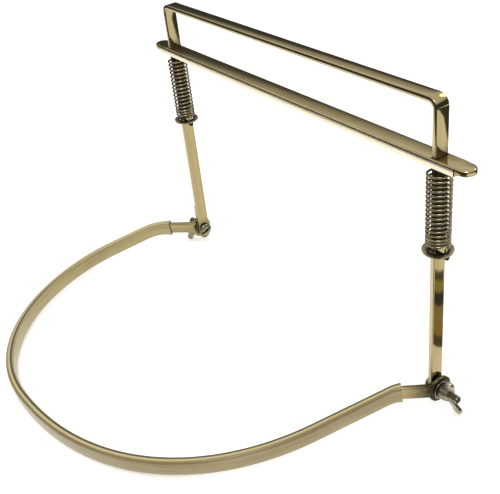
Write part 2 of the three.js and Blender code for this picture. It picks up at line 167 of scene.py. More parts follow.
# Wing nuts
HUB_RADIUS = 4.5
HUB_TOP_RADIUS = 3.5
HUB_LENGTH = 4.8
HUB_SIDES = 48
NUT_OUT = NUT_IN + HUB_LENGTH
SCREW_PROUD = 5.2
WING_REACH = 12.8
WING_RISE = 9.6
WING_TIP = 2.6
WING_THICKNESS = 1.7
WING_ROOT = 2.6
WING_ROOT_INSET = 0.5
WING_LEAN = {"left": math.radians(-24), "right": math.radians(18)}
CASTING_GRAIN = 0.28
CASTING_PASSES = 6

# Neck hoop, seen from above: sideways place and reach out from the hinge axis
ARM_RISE = EYE_RADIUS - STRIP_WIDTH / 2
ARM_START = WASHER_RADIUS + FIT + STRIP_ROUND
ARM_OVERLAP = 0.8
WEB_START = 3.2
# Painted shade on the hoop's eyes and bare arms, heavier on the right
EYE_SHADE = {"left": 0.2, "right": 0.75}
LEFT_CORNER = Vector((-EYE_MIDDLE, -7.6, 0))
LEFT_BEND = Vector((-124.2, -23.8, 0))
LEFT_END = Vector((-126.4, -59.9, 0))
FRONT = Vector((-39.8, -157.7, 0))
RIGHT_END = Vector((87.1, -62.1, 0))
RIGHT_BEND = Vector((95.5, -19.0, 0))
RIGHT_CORNER = Vector((EYE_MIDDLE, -6.9, 0))
HANDLES = {"left_start": 0.502, "left_end": 0.624, "right_start": 0.59, "right_end": 0.587}
EAR_BEND = 0.6
LEFT_BEND_LENGTH = 8.0
RIGHT_BEND_LENGTH = 4.0
HOOP_STEPS = 60
SLEEVE_START = 16.8
SLEEVE_STEP = 2.0
SLEEVE_WALL = 0.6
SLEEVE_ROUND = 1.4
FLARE_LENGTH = 9.0
FLARE = (0.18, 0.12)

# How far the hoop hangs down: its front is as low as the right wing tip
WING_DEPTH = WING_REACH * math.cos(WING_LEAN["right"]) + WING_THICKNESS / 2 * math.sin(WING_LEAN["right"])
SLEEVE_DEPTH = STRIP_WIDTH / 2 + FIT + SLEEVE_WALL - ARM_RISE
HOOP_DROP = math.asin(WING_DEPTH / math.hypot(FRONT.y, SLEEVE_DEPTH)) - math.atan2(SLEEVE_DEPTH, -FRONT.y)

# What shiny surfaces mirror: cards that stand or lie round the part, and a wall round everything
DARK = (0.035, 0.033, 0.027)
PLAIN_DARK = [(0.0, DARK), (1.0, DARK)]
CARD_FOOT = -12
LOW_CARD = -11.5
WALL_RADIUS = 1000
WALL_TOP = 750
WALL_BANDS = [(0.0, DARK), (0.56, DARK), (0.63, (0.05, 0.046, 0.036)), (0.67, (0.14, 0.13, 0.1)),
              (0.71, (0.32, 0.3, 0.25)), (0.76, (0.48, 0.46, 0.4)), (0.88, (0.6, 0.58, 0.52)),
              (1.0, (0.95, 0.94, 0.9))]
LEG_BANDS = [(0.12, (0.12, 0.09, 0.06)), (0.16, (0.50, 0.30, 0.10)), (0.3, (0.46, 0.30, 0.10)),
             (0.34, (0.40, 0.34, 0.12)), (0.5, (0.38, 0.32, 0.13)), (0.54, (0.02, 0.025, 0.045)),
             (0.68, (0.02, 0.025, 0.04)), (0.72, (0.42, 0.38, 0.10)), (0.84, (0.45, 0.40, 0.12)),
             (0.88, (0.07, 0.08, 0.06))]
# The light that dull surfaces get from the world, from the horizon to straight up
WORLD_BANDS = [(0.0, (0.03, 0.029, 0.024)), (0.26, (0.03, 0.029, 0.024)), (0.29, (0.05, 0.046, 0.036)),
               (0.32, (0.2, 0.18, 0.15)), (0.35, (0.5, 0.48, 0.43)), (0.45, (0.58, 0.56, 0.5)),
               (0.58, (1.05, 1.04, 1.0))]
# The floor reaches so many metres each way, and lies just below the part
FLOOR_SIZE = 1.6
FLOOR_LEVEL = -0.2
FLOOR_GLOW = 0.3

# Plated metals
GOLD = (0.42, 0.355, 0.19)
GOLD_TARNISH = (0.30, 0.22, 0.088)


# Camera and lamps

def add_camera():
    data = bpy.data.cameras.new("photo_camera")
    data.sensor_width = SENSOR_WIDTH
    data.lens = CAMERA_LENS
    data.clip_start = 10 * MM
    data.clip_end = 20.0
    camera = bpy.data.objects.new("photo_camera", data)
    bpy.context.scene.collection.objects.link(camera)
    aim = (CAMERA_AIM - CAMERA_PLACE).to_track_quat("-Z", "Y").to_matrix().to_4x4()
    camera.matrix_world = Matrix.Translation(CAMERA_PLACE) @ aim @ Matrix.Rotation(CAMERA_ROLL, 4, "Z")
    bpy.context.scene.camera = camera


def add_lamp(name, place, size, power, tint):
    """A round soft lamp that looks at the part, with its place and size in metres"""
    data = bpy.data.lights.new(name, "AREA")
    data.shape = "DISK"
    data.size = size
    data.energy = power
    data.color = tint
    lamp = bpy.data.objects.new(name, data)
    bpy.context.scene.collection.objects.link(lamp)
    turn = (Vector(LAMP_AIM) - Vector(place)).to_track_quat("-Z", "Y").to_matrix().to_4x4()
    lamp.matrix_world = Matrix.Translation(Vector(place)) @ turn


# Material building

def node(tree, kind, settings=None, **inputs):
    """One shader node with its settings and its inputs, given as values or as sockets to join.
    An input is named as its socket is, or i and its number where sockets share a name."""
    made = tree.nodes.new(kind)
    for key, value in (settings or {}).items():
        setattr(made, key, value)
    for key, value in inputs.items():
        numbered = key[0] == "i" and key[1:].isdigit()
        socket = made.inputs[int(key[1:]) if numbered else key.replace("_", " ")]
        if isinstance(value, bpy.types.NodeSocket):
            tree.links.new(value, socket)
        else:
            socket.default_value = value
    return made


def maths(tree, operation, *values, clamp=False):
    """One sum on up to three values or sockets"""
    settings = {"operation": operation, "use_clamp": clamp}
    inputs = {"i" + str(i): value for i, value in enumerate(values)}
    return node(tree, "ShaderNodeMath", settings, **inputs).outputs[0]


def mixed_values(tree, share, first, second):
    return node(tree, "ShaderNodeMix", {"data_type": "FLOAT"}, i0=share, i2=first, i3=second).outputs[0]


def mixed_colors(tree, share, first, second, blend="MIX"):
    settings = {"data_type": "RGBA", "blend_type": blend}
    return node(tree, "ShaderNodeMix", settings, i0=share, i6=first, i7=second).outputs[2]


def noise(tree, place, scale, detail, **more):
    made = node(tree, "ShaderNodeTexNoise", None, Vector=place, Scale=scale, Detail=detail, **more)
    return made.outputs["Fac"]


def attribute(tree, name, output="Fac"):
    return node(tree, "ShaderNodeAttribute", {"attribute_name": name}).outputs[output]


def stretched(tree, place, scale):
    return node(tree, "ShaderNodeMapping", None, Vector=place, Scale=scale).outputs["Vector"]


def share_of(tree, value, start, end, most=1.0):
    """Nothing at the start, rising to `most` at the end"""
    spread = node(tree, "ShaderNodeMapRange", None, Value=value, From_Min=start, From_Max=end, To_Max=most)
    return spread.outputs["Result"]


def ramp(tree, factor, stops):
    made = node(tree, "ShaderNodeValToRGB", None, Fac=factor)
    elements = made.color_ramp.elements
    while len(elements) < len(stops):
        elements.new(0.5)
    for element, (place, color) in zip(elements, stops):
        element.position = place
        element.color = (*color, 1) if isinstance(color, tuple) else (color, color, color, 1)
    return made.outputs["Color"]


def group(name, inputs, outputs):
    """A node group with named sockets: {name: (kind, default)} in, {name: kind} out"""
    tree = bpy.data.node_groups.new(name, "ShaderNodeTree")
    for key, (kind, default) in inputs.items():
        socket = tree.interface.new_socket(key, in_out="INPUT", socket_type=kind)
        if default is not None:
            socket.default_value = default
    for key, kind in outputs.items():
        tree.interface.new_socket(key, in_out="OUTPUT", socket_type=kind)
    return tree, tree.nodes.new("NodeGroupInput").outputs, tree.nodes.new("NodeGroupOutput").inputs


def brushed_lines():
    """Fine lines drawn out along the length of a piece"""
    tree, given, wanted = group(
        "brushed_lines",
        {"Vector": ("NodeSocketVector", None), "Fineness": ("NodeSocketFloat", 900.0)},
        {"Line": "NodeSocketFloat"})
    fine = noise(tree, given["Vector"], given["Fineness"], 4.0, Roughness=0.6)
    coarse = maths(tree, "MULTIPLY", given["Fineness"], 0.22)
    broad = noise(tree, given["Vector"], coarse, 2.0)
    tree.links.new(mixed_values(tree, 0.4, fine, broad), wanted["Line"])
    return tree


def aged_plating():
    """Bright plating with cloudy tarnish, small pits and tarnished brush lines, darkened by painted shade
    mixed with a little soiling, and paled by painted highlight
    """
    tree, given, wanted = group(
        "aged_plating",
        {"Vector": ("NodeSocketVector", None), "Line": ("NodeSocketFloat", 0.5),
         "Bright": ("NodeSocketColor", (0.7, 0.62, 0.42, 1)),
         "Tarnish": ("NodeSocketColor", (0.4, 0.32, 0.16, 1)),
         "Age": ("NodeSocketFloat", 0.5), "Smooth": ("NodeSocketFloat", 0.14),
         "Rough": ("NodeSocketFloat", 0.3), "Grime": ("NodeSocketFloat", 0.0),
         "Worn": ("NodeSocketFloat", 0.0)},
        {"Color": "NodeSocketColor", "Roughness": "NodeSocketFloat", "Height": "NodeSocketFloat"})
    place = given["Vector"]
    cloud = noise(tree, place, 55.0, 5.0, Roughness=0.62, Distortion=0.6)
    clouds = ramp(tree, cloud, [(0.38, 0.0), (0.72, 1.0)])
    pits = ramp(tree, noise(tree, place, 1400.0, 2.0), [(0.66, 0.0), (0.74, 1.0)])
    lines = ramp(tree, given["Line"], [(0.36, 0.0), (0.64, 1.0)])
    tarnished = maths(tree, "MULTIPLY", clouds, given["Age"])
    tarnished = maths(tree, "MULTIPLY_ADD", lines, 0.42, tarnished)
    tarnished = maths(tree, "MULTIPLY_ADD", pits, 0.5, tarnished, clamp=True)
    tint = mixed_colors(tree, tarnished, given["Bright"], given["Tarnish"])
    rough = mixed_values(tree, tarnished, given["Smooth"], given["Rough"])
    height = maths(tree, "MULTIPLY_ADD", pits, -0.7, lines)
    # Painted shade, with a little soiling, made patchy by noise; it darkens the colour almost to black
    uneven = maths(tree, "MULTIPLY_ADD", noise(tree, place, 600.0, 4.0, Roughness=0.7), 1.6, -0.8)
    held = maths(tree, "MULTIPLY", given["Grime"], 1.5)
    spread = maths(tree, "MULTIPLY_ADD", uneven, given["Grime"], held, clamp=True)
    dull = maths(tree, "MULTIPLY", spread, 0.92, clamp=True)
    # Painted highlight: mixes the colour towards a pale cream
    edge_highlight = mixed_colors(tree, given["Worn"], tint, (0.82, 0.76, 0.58, 1))
    tree.links.new(mixed_colors(tree, dull, edge_highlight, (0.022, 0.018, 0.010, 1)), wanted["Color"])
    tree.links.new(mixed_values(tree, dull, rough, 0.6), wanted["Roughness"])
    tree.links.new(height, wanted["Height"])
    return tree


BRUSHED_LINES = brushed_lines()
AGED_PLATING = aged_plating()


def new_material(name):
    material = bpy.data.materials.new(name)
    material.use_nodes = True
    tree = material.node_tree
    shader = tree.nodes["Principled BSDF"]
    return material, tree, shader


def add_bump(tree, shader, height, strength, depth):
    """Relief of so many millimetres"""
    bump = node(tree, "ShaderNodeBump", None, Strength=strength, Distance=depth * MM, Height=height)
    tree.links.new(bump.outputs["Normal"], shader.inputs["Normal"])


def plated(name, bright, tarnish, age, smooth, rough, fineness, stretch, relief, on_strip=False):
    """Plated metal. `stretch` draws its lines out, on strips and wire along the strip or wire itself."""
    material, tree, shader = new_material(name)
    if on_strip:
        place = attribute(tree, "strip", "Vector")
    else:
        place = node(tree, "ShaderNodeTexCoord").outputs["Object"]
    drawn = stretched(tree, place, stretch)
    lines = node(tree, "ShaderNodeGroup", {"node_tree": BRUSHED_LINES}, Vector=drawn, Fineness=fineness)
    aged = node(tree, "ShaderNodeGroup", {"node_tree": AGED_PLATING}, Vector=place,
                Line=lines.outputs["Line"], Bright=(*bright, 1), Tarnish=(*tarnish, 1),
                Age=age, Smooth=smooth, Rough=rough,
                Grime=attribute(tree, "grime"), Worn=attribute(tree, "worn")).outputs
    tree.links.new(aged["Color"], shader.inputs["Base Color"])
    tree.links.new(aged["Roughness"], shader.inputs["Roughness"])
    add_bump(tree, shader, aged["Height"], relief, 0.02)
    shader.inputs["Metallic"].default_value = 1.0
    return material


# Colours across the top of the sleeve, from the hoop's outer side to its inner side: the strip's edge seen
# through it, with a painted highlight as the bright band and painted shade as the near-black band
TOP_WITH_STRIP = [(0.0, (0.25, 0.2, 0.095)), (0.22, (0.23, 0.18, 0.08)), (0.4, (0.62, 0.53, 0.25)),
                  (0.55, (0.48, 0.4, 0.18)), (0.62, (0.1, 0.08, 0.035)), (0.68, (0.03, 0.024, 0.011)),
                  (0.78, (0.05, 0.04, 0.02)), (0.88, (0.46, 0.39, 0.23))]
# Paler top for the first stretch of the sleeve, on the left: a milder painted highlight and no band of
# painted shade
PALE_TOP = [(0.0, (0.36, 0.3, 0.15)), (0.35, (0.66, 0.57, 0.3)), (0.6, (0.5, 0.43, 0.22)),
            (1.0, (0.46, 0.39, 0.2))]


def vinyl():
    """Clear tube gone cloudy and yellow, with the strip's edge showing through its top in painted highlight
    and shade, painted shade along its rounded edges, and a darker painted outer face
    """
    material, tree, shader = new_material("yellowed_vinyl")
    place = attribute(tree, "strip", "Vector")
    in_mm = stretched(tree, place, (1 / MM, 1 / MM, 1 / MM))
    parts = node(tree, "ShaderNodeSeparateXYZ", None, Vector=in_mm).outputs
    cloud = noise(tree, stretched(tree, place, (1.0, 1.0, 0.04)), 620.0, 5.0, Roughness=0.6)
    clouds = mixed_values(tree, 0.5, cloud, noise(tree, place, 26.0, 3.0))
    face = ramp(tree, clouds, [(0.32, (0.37, 0.295, 0.125)), (0.5, (0.51, 0.425, 0.2)),
                               (0.68, (0.63, 0.545, 0.305))])
    across = share_of(tree, parts["X"], -2.2, 2.2)
    rim = share_of(tree, maths(tree, "ABSOLUTE", parts["Y"]), 2.6, 4.6)
    # Painted shade along the sleeve's rounded edges
    fold_shade = ramp(tree, rim, [(0.0, 1.0), (0.3, 1.0), (0.45, (0.62, 0.56, 0.42)), (0.6, (0.9, 0.88, 0.82))])
    side = mixed_colors(tree, 0.8, face, fold_shade, "MULTIPLY")
    # Painted shade: the outer face is darker than the inner one
    outer_shade = ramp(tree, across, [(0.3, (0.66, 0.62, 0.55)), (0.7, (0.9, 0.87, 0.78))])
    side = mixed_colors(tree, 1.0, side, outer_shade, "MULTIPLY")
    side = mixed_colors(tree, share_of(tree, parts["Y"], 1.5, -3.6, most=0.2), side, (0.62, 0.52, 0.32, 1))
    from_left = share_of(tree, parts["Z"], 45.0, 105.0)
    top = mixed_colors(tree, from_left, ramp(tree, across, PALE_TOP), ramp(tree, across, TOP_WITH_STRIP))
    tint = mixed_colors(tree, share_of(tree, parts["Y"], 3.7, 4.3), side, top)
    tree.links.new(tint, shader.inputs["Base Color"])
    tree.links.new(ramp(tree, rim, [(0.4, 0.94), (0.6, 0.8)]), shader.inputs["Alpha"])
    tree.links.new(ramp(tree, clouds, [(0.3, 0.22), (0.7, 0.38)]), shader.inputs["Roughness"])
    add_bump(tree, shader, cloud, 0.25, 0.05)
    shader.inputs["Coat Weight"].default_value = 0.35
    shader.inputs["Coat Roughness"].default_value = 0.12
    shader.inputs["Specular IOR Level"].default_value = 0.55
    return material


def fibre():
    """Dark pressed fibre with scuffed, dusty patches"""
    material, tree, shader = new_material("dark_fibre")
    place = node(tree, "ShaderNodeTexCoord").outputs["Object"]
    grain = noise(tree, place, 1800.0, 4.0)
    patches = mixed_values(tree, 0.4, grain, noise(tree, place, 260.0, 3.0))
    tint = ramp(tree, patches, [(0.35, (0.045, 0.038, 0.018)), (0.7, (0.15, 0.13, 0.075))])
    tree.links.new(tint, shader.inputs["Base Color"])
    tree.links.new(ramp(tree, patches, [(0.35, 0.55), (0.7, 0.85)]), shader.inputs["Roughness"])
    add_bump(tree, shader, grain, 0.4, 0.05)
    return material


# Mesh building

# Verts closer than this are one, in millimetres
MERGE_DISTANCE = 0.002


def open_mesh():
    return with_layers(bmesh.new())


def with_layers(bm):
    """Adds what the materials read: the place on a strip, the painted shade with a little soiling, and the
    painted highlight
    """
    layers = bm.verts.layers
    if not layers.float_vector.get("strip"):
        layers.float_vector.new("strip")
    for name in ("grime", "worn"):
        if not layers.float.get(name):
            layers.float.new(name)
    return bm


def mark(bm, kind, amount):
    """Stores how much painted shade or painted highlight each vert has, from its place in millimetres"""
    layer = bm.verts.layers.float[kind]
    for vert in bm.verts:
        vert[layer] = min(1.0, max(vert[layer], amount(vert.co)))


def near(value, place, reach):
    """One at the place, falling to nothing at the reach from it"""
    return max(0.0, 1 - abs(value - place) / reach)


def verts_in(made):
    return [item for item in made if isinstance(item, bmesh.types.BMVert)]


def faces_in(made):
    return [item for item in made if isinstance(item, bmesh.types.BMFace)]


def new_object(name, bm):
    """Turns a finished mesh into an object in the scene"""
    mesh = bpy.data.meshes.new(name)
    bm.to_mesh(mesh)
    bm.free()
    made = bpy.data.objects.new(name, mesh)
    bpy.context.scene.collection.objects.link(made)
    return made


def finish(name, bm, material, body, nodes, smooth_angle=40, turn=None):
    """Cleans the mesh and puts it in place in metres. It rides on its body, or on none where it bends."""
    bmesh.ops.remove_doubles(bm, verts=bm.verts[:], dist=MERGE_DISTANCE)
    bmesh.ops.dissolve_degenerate(bm, edges=bm.edges[:], dist=MERGE_DISTANCE)
    bmesh.ops.recalc_face_normals(bm, faces=bm.faces[:])
    if turn:
        bmesh.ops.transform(bm, matrix=turn, verts=bm.verts[:])
    bmesh.ops.scale(bm, vec=(MM, MM, MM), verts=bm.verts[:])
    bmesh.ops.translate(bm, vec=HINGE, verts=bm.verts[:])
    layer = bm.verts.layers.float_vector["strip"]
    for vert in bm.verts:
        vert[layer] = vert[layer] * MM
    for face in bm.faces:
        face.smooth = True
    for edge in bm.edges:
        edge.smooth = len(edge.link_faces) == 2 and edge.calc_face_angle(0) < math.radians(smooth_angle)
    piece = new_object(name, bm)
    piece.data.materials.append(material)
    if body:
        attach(piece, body)
    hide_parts(*nodes)
    return piece


def filled(points, step):
    """Puts points into the long straight runs of a line"""
    line = [points[0]]
    for before, after in zip(points, points[1:]):
        parts = max(1, math.ceil((after - before).length / step))
        line += [before.lerp(after, i / parts) for i in range(1, parts + 1)]
    return line


def stations(points, up):
    """A placing matrix at each point: thickness along X, width along Y, the line itself along Z"""
    placed = []
    for i, point in enumerate(points):
        along = (points[min(i + 1, len(points) - 1)] - points[max(i - 1, 0)]).normalized()
        rise = up[i] if isinstance(up, list) else up
        side = rise.cross(along).normalized()
        matrix = Matrix((side, along.cross(side), along)).transposed().to_4x4()
        matrix.translation = point
        placed.append(matrix)
    return placed


def sweep(bm, face, placed):
    """Carries a face from station to station. Its walls, its first place and its last are left."""
    layer = bm.verts.layers.float_vector["strip"]
    gone = 0.0
    verts = list(face.verts)
    for vert in verts:
        vert[layer] = (vert.co.x, vert.co.y, gone)
    bmesh.ops.transform(bm, matrix=placed[0], verts=verts)
    for before, after in zip(placed, placed[1:]):
        gone += (after.translation - before.translation).length
        made = bmesh.ops.extrude_face_region(bm, geom=[face])["geom"]
        verts = verts_in(made)
        if before is not placed[0]:
            bm.faces.remove(face)
        face = faces_in(made)[0]
        bmesh.ops.transform(bm, matrix=after @ before.inverted(), verts=verts)
        for vert in verts:
            vert[layer] = (vert[layer].x, vert[layer].y, gone)


def strip_face(bm, thickness, width, rounding, segments):
    corners = [(-1, -1), (1, -1), (1, 1), (-1, 1)]
    verts = [bm.verts.new((x * thickness / 2, y * width / 2, 0)) for x, y in corners]
    bm.faces.new(verts)
    made = bmesh.ops.bevel(bm, geom=verts, offset=rounding, segments=segments, profile=0.5,
                           affect="VERTICES", material=-1)
    return made["verts"][0].link_faces[0]


def lathe(bm, profile, sides, closed=False):
    """Turns a profile of (x, radius) points about the X axis"""
    verts = [bm.verts.new((x, 0, radius)) for x, radius in profile]
    ends = verts[1:] + verts[:1] if closed else verts[1:]
    edges = [bm.edges.new(pair) for pair in zip(verts, ends)]
    bmesh.ops.spin(bm, geom=verts + edges, cent=(0, 0, 0), axis=(1, 0, 0), angle=2 * math.pi, steps=sides,
                   use_merge=True)
    bmesh.ops.remove_doubles(bm, verts=bm.verts[:], dist=MERGE_DISTANCE)
    bmesh.ops.recalc_face_normals(bm, faces=bm.faces[:])


def soften(bm, amount, segments=2, least_angle=35):
    """Rounds the edges that turn by more than the angle"""
    least = math.radians(least_angle)
    sharp = [e for e in bm.edges if len(e.link_faces) == 2 and e.calc_face_angle(0) > least]
    bmesh.ops.bevel(bm, geom=sharp, offset=amount, segments=segments, profile=0.5, affect="EDGES",
                    material=-1, clamp_overlap=True)


def ring(x, outer, inner, thickness, rounding, sides=72):
    """A flat washer about the X axis, from x outwards"""
    bm = open_mesh()
    profile = [(x, inner), (x, outer), (x + thickness, outer), (x + thickness, inner)]
    lathe(bm, profile, sides, closed=True)
    soften(bm, rounding)
    return bm


def arc(centre, radius, start, end, steps):
    """Points round part of a circle, as (across, up) pairs"""
    angles = [math.radians(start + (end - start) * i / steps) for i in range(steps + 1)]
    return [(centre[0] + radius * math.cos(a), centre[1] + radius * math.sin(a)) for a in angles]


# U frame

def frame_strip(material):
    bm = open_mesh()
    centre = FRAME_BEND - STRIP_THICKNESS / 2
    half = STRIP_WIDTH / 2
    tongue = [math.radians(a) for a in (6, 14, 24, 36, 50, 64, 77, 90)]
    low = [(-LEG_MIDDLE, -LEG_TAIL + half * (1 - math.cos(a))) for a in tongue]
    corner = (LEG_MIDDLE - centre, FRAME_HEIGHT - FRAME_BEND)
    left = low + arc((-corner[0], corner[1]), centre, 180, 90, 10)
    right = [(-x, z) for x, z in reversed(left)]
    ends = [Vector((x, 0, z)) for x, z in left[:len(tongue)]]
    other = [Vector((x, 0, z)) for x, z in right[-len(tongue):]]
    middle = [Vector((x, 0, z)) for x, z in left[len(tongue) - 1:] + right[:len(right) - len(tongue) + 1]]
    line = ends + filled(middle, FRAME_STEP)[1:-1] + other
    placed = stations(line, Vector((0, 1, 0)))
    for i, angle in enumerate(tongue):
        for k in (i, len(placed) - 1 - i):
            placed[k] = placed[k] @ Matrix.Diagonal((1, math.sin(angle), 1, 1))
    sweep(bm, strip_face(bm, STRIP_THICKNESS, STRIP_WIDTH, STRIP_EDGE, STRIP_EDGE_STEPS), placed)
    # Painted highlight: the strip's flat narrow faces are made a little paler
    mark(bm, "worn", lambda co: 0.22 if abs(co.y) > STRIP_WIDTH / 2 - 0.05 else 0.0)
    # Painted shade over the legs inside the springs
    mark(bm, "grime", lambda co: 0.8 if abs(co.z - LEG_SHADE_MIDDLE) < LEG_SHADE_REACH else 0.0)
    # Painted shade where the legs pass through the plate
    mark(bm, "grime", lambda co: 0.35 * near(co.z, PLATE_TOP, 6))
    # Painted shade round the pivot at each leg's lower end
    mark(bm, "grime", lambda co: 0.4 * near(math.hypot(co.y, co.z), 4, 5))
    return finish("frame_strip", bm, material, "frame", ["u_frame"])


# Jaw plate

def plate_outline():
    tip = PLATE_SHOULDER + TAB_LENGTH - TAB_HALF_WIDTH
    half = PLATE_HALF_WIDTH
    right = [(PLATE_SHOULDER, -half), (PLATE_SHOULDER, -TAB_HALF_WIDTH)]
    right += arc((tip, 0), TAB_HALF_WIDTH, -90, 90, 18)
    right += [(PLATE_SHOULDER, TAB_HALF_WIDTH), (PLATE_SHOULDER, half)]
    return right + [(-x, y) for x, y in reversed(right)]


def pressed_plate(material):
    bm = open_mesh()
    face = bm.faces.new([bm.verts.new((x, y, PLATE_TOP)) for x, y in plate_outline()])
    made = bmesh.ops.extrude_face_region(bm, geom=[face])["geom"]
    for vert in verts_in(made):
        on_tab = abs(vert.co.x) > PLATE_SHOULDER + 0.5
        vert.co.z = PLATE_TOP - (TAB_HEIGHT if on_tab else PLATE_HEIGHT)
    bmesh.ops.delete(bm, geom=faces_in(made), context="FACES_ONLY")
    rim = [e for e in bm.edges if all(v.co.z > PLATE_TOP - 0.01 for v in e.verts)]
    bmesh.ops.bevel(bm, geom=rim, offset=PLATE_EDGE, segments=5, profile=0.5, affect="EDGES", material=-1)
    slot_x = (LEG_INNER - FIT, LEG_OUTER + FIT)
    slot_y = STRIP_WIDTH / 2 + FIT
    cuts = [((side * x, 0, 0), (1, 0, 0)) for side in (-1, 1) for x in slot_x]
    cuts += [((0, side * slot_y, 0), (0, 1, 0)) for side in (-1, 1)]
    for place, across in cuts:
        everything = bm.verts[:] + bm.edges[:] + bm.faces[:]
        bmesh.ops.bisect_plane(bm, geom=everything, plane_co=place, plane_no=across)
    middles = [(f, f.calc_center_median()) for f in bm.faces]
    inside = [f for f, middle in middles if slot_x[0] < abs(middle.x) < slot_x[1]
              and abs(middle.y) < slot_y and middle.z > PLATE_TOP - 0.1]
    bmesh.ops.delete(bm, geom=inside, context="FACES")
    bmesh.ops.recalc_face_normals(bm, faces=bm.faces[:])
    bmesh.ops.solidify(bm, geom=bm.faces[:], thickness=PLATE_SHEET)
    # Painted highlight: the plate's front and back walls are made pale below its top
    edge_highlight = (PLATE_HALF_WIDTH - 0.05, PLATE_TOP - 0.6)
    mark(bm, "worn", lambda co: 0.9 if abs(co.y) > edge_highlight[0] and co.z < edge_highlight[1] else 0.0)
    return finish("pressed_plate", bm, material, "jaw", ["clamp_plate"], smooth_angle=35)


# Springs, their washers and pins

def spring_line(turns):
    radius = SPRING_RADIUS - WIRE_RADIUS
    wire = 2 * WIRE_RADIUS
    coil_bottom = SPRING_BOTTOM + wire + SPRING_END
    coil_top = SPRING_TOP - wire - SPRING_END
    open_pitch = (coil_top - coil_bottom - CLOSE_TURNS * CLOSE_PITCH) / (turns - CLOSE_TURNS)
    points, outs = [], []

    def add(angle, back, z):
        out = Vector((math.cos(angle), math.sin(angle), 0))
        forward = Vector((-out.y, out.x, 0))
        points.append(out * radius - forward * back + Vector((0, 0, z)))
        outs.append(out)

    last = 2 * math.pi * turns
    bends = [math.radians(a) for a in (0, 22.5, 45, 67.5)]
    add(0, SPRING_END, SPRING_BOTTOM)
    for a in bends:
        add(0, SPRING_END * math.cos(a), SPRING_BOTTOM + wire + SPRING_END * math.sin(a))
    steps = round(turns * COIL_STEPS)
    for i in range(steps + 1):
        turn = turns * i / steps
        rise = min(turn, CLOSE_TURNS) * CLOSE_PITCH + max(turn - CLOSE_TURNS, 0) * open_pitch
        add(2 * math.pi * turn, 0, coil_bottom + rise)
    for a in reversed(bends):
        add(last, -SPRING_END * math.cos(a), SPRING_TOP - wire - SPRING_END * math.sin(a))
    add(last, -SPRING_END, SPRING_TOP)
    return points, outs


def coil_spring(label, side, material):
    bm = open_mesh()
    points, outs = spring_line(SPRING_TURNS[label])
    shift = Vector((side * LEG_MIDDLE, 0, 0))
    face = bm.faces.new(bmesh.ops.create_circle(bm, segments=WIRE_SIDES, radius=WIRE_RADIUS)["verts"])
    sweep(bm, face, stations([p + shift for p in points], outs))
    bore = SPRING_RADIUS - 2 * WIRE_RADIUS
    # Painted shade on the inner side of the coils
    mark(bm, "grime", lambda co: 0.8 * near(math.hypot(co.x - shift.x, co.y), bore, WIRE_RADIUS))
    piece = finish("coil_spring_" + label, bm, material, None, ["spring_" + label])
    foot, head = [HINGE + (shift + Vector((0, 0, z))) * MM
                  for z in (SPRING_BOTTOM - SPRING_EASE, SPRING_TOP + SPRING_EASE)]
    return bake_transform(piece, "frame", "jaw", start=foot, end=head)


def spring_seat(label, side, material):
    bm = ring(0, SPRING_WASHER_RADIUS, SPRING_WASHER_BORE, SPRING_WASHER_THICKNESS, SPRING_WASHER_EDGE)
    # Painted shade on the washer under the spring, strongest at its bore
    mark(bm, "grime", lambda co: 0.45 * near(math.hypot(co.y, co.z), SPRING_WASHER_BORE, 3.4))
    laid_flat = Matrix.Rotation(-math.pi / 2, 4, "Y")
    place = Matrix.Translation((side * LEG_MIDDLE, 0, SPRING_WASHER_BOTTOM))
    bmesh.ops.transform(bm, matrix=place @ laid_flat, verts=bm.verts[:])
    return finish("seat_washer_" + label, bm, material, "frame", ["spring_washer_" + label])


def stop_pin(label, side, material):
    bm = open_mesh()
    half = PIN_LENGTH / 2
    lathe(bm, [(-half, 0), (-half, PIN_RADIUS), (half, PIN_RADIUS), (half, 0)], PIN_SIDES)
    soften(bm, PIN_EDGE, segments=3)
    bmesh.ops.translate(bm, vec=(side * LEG_MIDDLE, 0, PIN_HEIGHT), verts=bm.verts[:])
    return finish("stop_pin_" + label, bm, material, "frame", ["cross_pin_" + label])


# Hinge hardware, drawn outwards along +X and turned over for the left side

def outward(side, turn=0.0):
    flip = Matrix.Rotation(math.pi if side < 0 else 0.0, 4, "Z")
    return Matrix.Rotation(turn, 4, "X") @ flip


